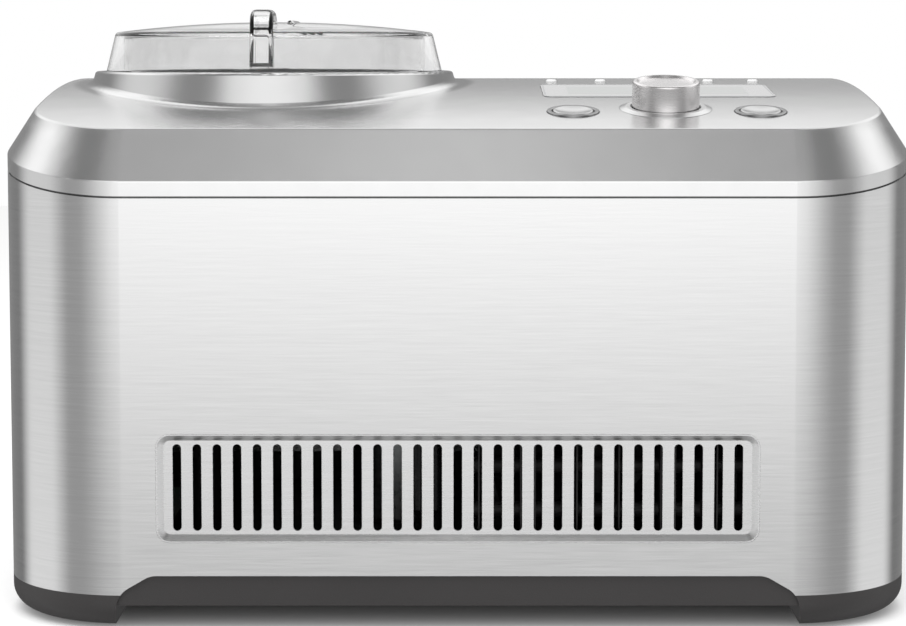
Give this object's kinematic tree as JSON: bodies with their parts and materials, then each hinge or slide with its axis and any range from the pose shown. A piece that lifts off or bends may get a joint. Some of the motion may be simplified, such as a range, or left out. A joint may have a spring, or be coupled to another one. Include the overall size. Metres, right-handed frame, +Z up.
{
  "type": "ice cream maker",
  "caption": "Countertop ice cream maker: brushed steel box with a slotted front grille, sloped control deck, clear round lid over a lift-out bowl with a driven dasher.",
  "frame": {"origin": "on the floor under the middle of the body", "axes": "+X to the right seen from the front, +Y to the back, +Z up"},
  "size_m": [0.41, 0.284, 0.2729],
  "materials": {
    "brushed_sheet": "fine horizontal brushing",
    "silver_abs": "metallic lacquer",
    "charcoal_abs": "fine texture",
    "clear_pc": "clear moulding",
    "soft_rubber": "matt",
    "bowl_aluminium": "satin",
    "dasher_pp": "moulded",
    "gear_nylon": "moulded",
    "shaft_steel": "ground",
    "bush_brass": "turned",
    "black_enamel": "gloss black",
    "copper_line": "drawn copper",
    "foam": "rigid foam",
    "board_green": "solder mask",
    "grey_abs": "moulded",
    "display_pmma": "smooth",
    "zinc_screw": "zinc plated"
  },
  "bodies": {
    "housing": {"base_tray": "charcoal_abs", "rubber_feet": "soft_rubber", "steel_wrapper": "brushed_sheet", "front_grille": "brushed_sheet", "rear_panel": "charcoal_abs", "rear_panel_screws": "zinc_screw", "cord_gland": "soft_rubber", "top_cover": "silver_abs", "bowl_collar": "grey_abs", "bowl_well": "bowl_aluminium", "evaporator": "bowl_aluminium", "insulation_jacket": "foam", "idler_axle": "shaft_steel", "gearbox_case": "grey_abs", "gearbox_lid": "grey_abs", "gearbox_screws": "zinc_screw", "drive_motor": "zinc_screw", "shaft_bush": "bush_brass", "shaft_seal": "soft_rubber", "compressor": "black_enamel", "compressor_plate": "black_enamel", "compressor_grommets": "soft_rubber", "compressor_bolts": "zinc_screw", "start_relay": "charcoal_abs", "condenser": "bowl_aluminium", "fan_shroud": "charcoal_abs", "fan_motor": "charcoal_abs", "discharge_pipe": "copper_line", "suction_pipe": "copper_line", "filter_drier": "black_enamel", "liquid_pipe": "copper_line", "capillary_tube": "copper_line", "control_board": "board_green", "tact_switches": "charcoal_abs", "dial_encoder": "grey_abs", "display_window": "display_pmma", "display_module": "grey_abs", "dial_bezel": "silver_abs", "button_bezels": "silver_abs", "power_board": "board_green"},
    "bowl": {"bowl": "bowl_aluminium"},
    "lid": {"lid_shell": "clear_pc", "flap_pin": "shaft_steel", "lid_seal": "soft_rubber"},
    "flap": {"lid_flap": "clear_pc"},
    "dasher": {"dasher": "dasher_pp", "dasher_scrapers": "soft_rubber"},
    "drive": {"drive_shaft": "shaft_steel", "output_gear": "gear_nylon"},
    "idler": {"idler_gear": "gear_nylon"},
    "pinion": {"motor_pinion": "shaft_steel"},
    "fan": {"fan_rotor": "charcoal_abs"},
    "dial": {"dial": "silver_abs"},
    "power_button": {"power_button": "silver_abs"},
    "start_button": {"start_button": "silver_abs"},
    "key_1": {"key_1": "silver_abs"},
    "key_2": {"key_2": "silver_abs"},
    "key_3": {"key_3": "silver_abs"},
    "key_4": {"key_4": "silver_abs"}
  },
  "joints": [
    {"name": "bowl_lift", "type": "slide", "parent": "housing", "child": "bowl", "axis": [0, 0, 1], "range_m": [0, 0.16]},
    {"name": "lid_lift", "type": "slide", "parent": "bowl", "child": "lid", "axis": [0, 0, 1], "range_m": [0, 0.09]},
    {"name": "flap_open", "type": "hinge", "parent": "lid", "child": "flap", "pos_m": [-0.0806, 0, 0.2665], "axis": [0, -1, 0], "range_deg": [0, 100]},
    {"name": "drive_spin", "type": "hinge", "parent": "housing", "child": "drive", "pos_m": [-0.09, 0, 0.0887], "axis": [0, 0, 1], "continuous": true},
    {"name": "dasher_spin", "type": "hinge", "parent": "bowl", "child": "dasher", "pos_m": [-0.09, 0, 0.17], "axis": [0, 0, 1], "continuous": true},
    {"name": "idler_spin", "type": "hinge", "parent": "housing", "child": "idler", "pos_m": [-0.0576, 0, 0.0777], "axis": [0, 0, 1], "continuous": true},
    {"name": "motor_spin", "type": "hinge", "parent": "housing", "child": "pinion", "pos_m": [-0.0288, 0, 0.0777], "axis": [0, 0, 1], "continuous": true},
    {"name": "fan_spin", "type": "hinge", "parent": "housing", "child": "fan", "pos_m": [0.068, -0.11, 0.072], "axis": [0, 1, 0], "continuous": true},
    {"name": "dial_turn", "type": "hinge", "parent": "housing", "child": "dial", "pos_m": [0.0943, -0.091, 0.22791], "axis": [0, -0.1737, 0.9848], "continuous": true},
    {"name": "power_button_press", "type": "slide", "parent": "housing", "child": "power_button", "axis": [0, 0.1829, -0.9831], "range_m": [0, 0.0012], "stiffness_N_per_m": 600},
    {"name": "start_button_press", "type": "slide", "parent": "housing", "child": "start_button", "axis": [0, 0.1829, -0.9831], "range_m": [0, 0.0012], "stiffness_N_per_m": 600},
    {"name": "key_1_press", "type": "slide", "parent": "housing", "child": "key_1", "axis": [0, 0.0553, -0.9985], "range_m": [0, 0.0012], "stiffness_N_per_m": 600},
    {"name": "key_2_press", "type": "slide", "parent": "housing", "child": "key_2", "axis": [0, 0.0553, -0.9985], "range_m": [0, 0.0012], "stiffness_N_per_m": 600},
    {"name": "key_3_press", "type": "slide", "parent": "housing", "child": "key_3", "axis": [0, 0.0553, -0.9985], "range_m": [0, 0.0012], "stiffness_N_per_m": 600},
    {"name": "key_4_press", "type": "slide", "parent": "housing", "child": "key_4", "axis": [0, 0.0553, -0.9985], "range_m": [0, 0.0012], "stiffness_N_per_m": 600}
  ],
  "couplings": [
    {"joint": "dasher_spin", "follows": "drive_spin", "ratio": 1},
    {"joint": "idler_spin", "follows": "drive_spin", "ratio": -3.5},
    {"joint": "motor_spin", "follows": "drive_spin", "ratio": 10.5}
  ]
}
